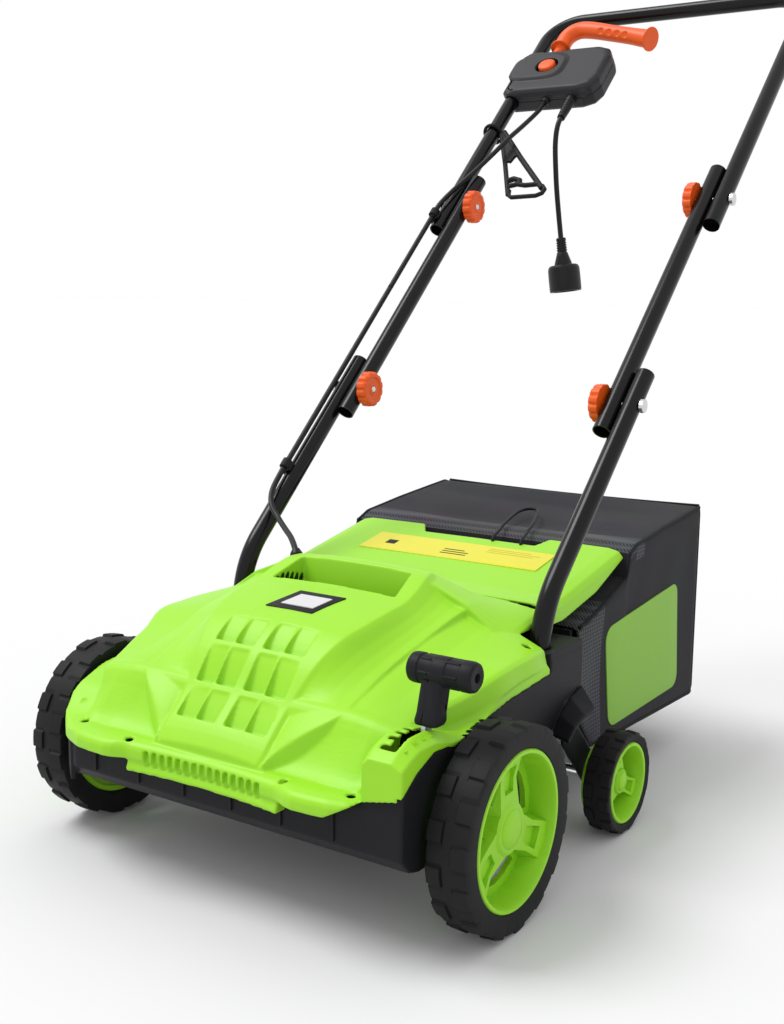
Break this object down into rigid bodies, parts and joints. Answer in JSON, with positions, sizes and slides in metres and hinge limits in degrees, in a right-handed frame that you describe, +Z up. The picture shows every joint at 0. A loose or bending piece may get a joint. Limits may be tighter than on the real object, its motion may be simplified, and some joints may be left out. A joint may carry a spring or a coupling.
{
  "type": "lawn dethatcher",
  "caption": "Wheeled corded lawn dethatcher with a tine rotor under a moulded hood, a tubular folding handle with switch box, and a rear collection bag.",
  "frame": {"origin": "on the ground, under the middle of the machine's length and width", "axes": "+Z up, +Y to the rear where the operator stands, +X to the side with the depth lever"},
  "size_m": [0.548, 1.0933, 1.019],
  "materials": {
    "green_plastic": "satin",
    "black_plastic": "fine texture",
    "grey_plastic": "fine texture",
    "orange_plastic": "satin",
    "tyre": "matte",
    "black_tube": "gloss",
    "steel": "satin",
    "chrome": "polished",
    "motor_metal": "cast",
    "fabric": "woven",
    "rubber": "matte"
  },
  "bodies": {
    "chassis": {"chassis_shell": "black_plastic", "rear_fender_left": "black_plastic", "rear_fender_right": "black_plastic", "hood_cover": "green_plastic", "hood_grille": "black_plastic", "badge_plate": "black_plastic", "motor_body": "motor_metal", "drive_belt": "rubber", "rear_axle": "chrome", "axle_clamp_left": "black_plastic", "axle_clamp_right": "black_plastic", "rotor_bearing_left": "steel", "rotor_bearing_right": "steel", "lower_tube_left": "black_tube", "lower_tube_right": "black_tube", "lower_bolt_left": "steel", "lower_bolt_right": "steel", "cable_clip_lower": "black_plastic", "motor_cable_lower": "rubber", "flap_hinge_pin": "steel"},
    "front_axle": {"front_crank_axle": "steel", "depth_lever": "black_plastic"},
    "front_wheel_left": {"front_tyre_left": "tyre", "front_rim_left": "green_plastic"},
    "front_wheel_right": {"front_tyre_right": "tyre", "front_rim_right": "green_plastic"},
    "rear_wheel_left": {"rear_tyre_left": "tyre", "rear_rim_left": "green_plastic"},
    "rear_wheel_right": {"rear_tyre_right": "tyre", "rear_rim_right": "green_plastic"},
    "rotor": {"rotor_drum": "black_plastic", "tine_rod_1": "steel", "tine_rod_2": "steel", "tine_rod_3": "steel", "tine_rod_4": "steel", "rotor_pulley": "steel"},
    "motor_shaft": {"motor_pulley": "steel"},
    "middle_handle": {"middle_tube_left": "black_tube", "middle_tube_right": "black_tube", "upper_bolt_left": "steel", "upper_bolt_right": "steel"},
    "top_handle": {"upper_handle": "black_tube", "switch_box_cover": "grey_plastic", "switch_box_base": "grey_plastic", "strain_relief": "rubber", "supply_cord": "rubber", "cord_plug": "rubber", "motor_cable_upper": "rubber", "cable_clip_upper": "black_plastic"},
    "knob_lower_left": {"lower_knob_left": "orange_plastic"},
    "knob_lower_right": {"lower_knob_right": "orange_plastic"},
    "knob_upper_left": {"upper_knob_left": "orange_plastic"},
    "knob_upper_right": {"upper_knob_right": "orange_plastic"},
    "button": {"start_button": "orange_plastic"},
    "lever": {"switch_lever": "orange_plastic"},
    "hook": {"cord_hook": "black_plastic"},
    "flap": {"rear_flap": "green_plastic"},
    "bag": {"bag_fabric": "fabric", "bag_frame": "black_plastic"},
    "bail": {"bag_bail": "steel"}
  },
  "joints": [
    {"name": "depth_set", "type": "hinge", "parent": "chassis", "child": "front_axle", "pos_m": [0, -0.48684, 0.104], "axis": [1, 0, 0], "range_deg": [0, 24]},
    {"name": "front_left_spin", "type": "hinge", "parent": "front_axle", "child": "front_wheel_left", "pos_m": [-0.2525, -0.40284, 0.1], "axis": [1, 0, 0], "continuous": true},
    {"name": "front_right_spin", "type": "hinge", "parent": "front_axle", "child": "front_wheel_right", "pos_m": [0.2525, -0.40284, 0.1], "axis": [1, 0, 0], "continuous": true},
    {"name": "rear_left_spin", "type": "hinge", "parent": "chassis", "child": "rear_wheel_left", "pos_m": [-0.2455, -0.12784, 0.057], "axis": [1, 0, 0], "continuous": true},
    {"name": "rear_right_spin", "type": "hinge", "parent": "chassis", "child": "rear_wheel_right", "pos_m": [0.2455, -0.12784, 0.057], "axis": [1, 0, 0], "continuous": true},
    {"name": "rotor_spin", "type": "hinge", "parent": "chassis", "child": "rotor", "pos_m": [0, -0.27284, 0.092], "axis": [1, 0, 0], "continuous": true},
    {"name": "motor_spin", "type": "hinge", "parent": "chassis", "child": "motor_shaft", "pos_m": [-0.16, -0.36884, 0.186], "axis": [1, 0, 0], "continuous": true},
    {"name": "middle_fold", "type": "hinge", "parent": "chassis", "child": "middle_handle", "pos_m": [0, -0.02884, 0.463], "axis": [1, 0, 0], "range_deg": [0, 156], "deforming": ["motor_cable_lower"]},
    {"name": "top_fold", "type": "hinge", "parent": "middle_handle", "child": "top_handle", "pos_m": [0, 0.22365, 0.70683], "axis": [1, 0, 0], "range_deg": [-128, 0], "deforming": ["motor_cable_lower", "motor_cable_upper"]},
    {"name": "lower_left_knob_turn", "type": "hinge", "parent": "chassis", "child": "knob_lower_left", "pos_m": [-0.1615, -0.02884, 0.463], "axis": [1, 0, 0], "range_deg": [-360, 0]},
    {"name": "lower_right_knob_turn", "type": "hinge", "parent": "chassis", "child": "knob_lower_right", "pos_m": [0.1615, -0.02884, 0.463], "axis": [1, 0, 0], "range_deg": [0, 360]},
    {"name": "upper_left_knob_turn", "type": "hinge", "parent": "middle_handle", "child": "knob_upper_left", "pos_m": [-0.1615, 0.22365, 0.70683], "axis": [1, 0, 0], "range_deg": [-360, 0]},
    {"name": "upper_right_knob_turn", "type": "hinge", "parent": "middle_handle", "child": "knob_upper_right", "pos_m": [0.1615, 0.22365, 0.70683], "axis": [1, 0, 0], "range_deg": [0, 360]},
    {"name": "start_press", "type": "slide", "parent": "top_handle", "child": "button", "axis": [0, 0.6947, -0.7193], "range_m": [0, 0.003], "stiffness_N_per_m": 400},
    {"name": "lever_squeeze", "type": "hinge", "parent": "top_handle", "child": "lever", "pos_m": [-0.16, 0.44977, 0.93909], "axis": [0, -0.6947, 0.7193], "range_deg": [0, 12], "stiffness_Nm_per_rad": 2, "springref_deg": -11.46},
    {"name": "hook_swing", "type": "hinge", "parent": "top_handle", "child": "hook", "pos_m": [-0.2014, 0.34162, 0.82075], "axis": [0, 0.7193, 0.6947], "range_deg": [0, 75]},
    {"name": "flap_lift", "type": "hinge", "parent": "chassis", "child": "flap", "pos_m": [0, -0.19084, 0.255], "axis": [1, 0, 0], "range_deg": [0, 48]},
    {"name": "bag_draw", "type": "slide", "parent": "chassis", "child": "bag", "axis": [0, 1, 0], "range_m": [0, 0.15]},
    {"name": "bail_lift", "type": "hinge", "parent": "bag", "child": "bail", "pos_m": [0, -0.00184, 0.2975], "axis": [1, 0, 0], "range_deg": [0, 80]}
  ],
  "couplings": [
    {"joint": "motor_spin", "follows": "rotor_spin", "ratio": 2}
  ]
}
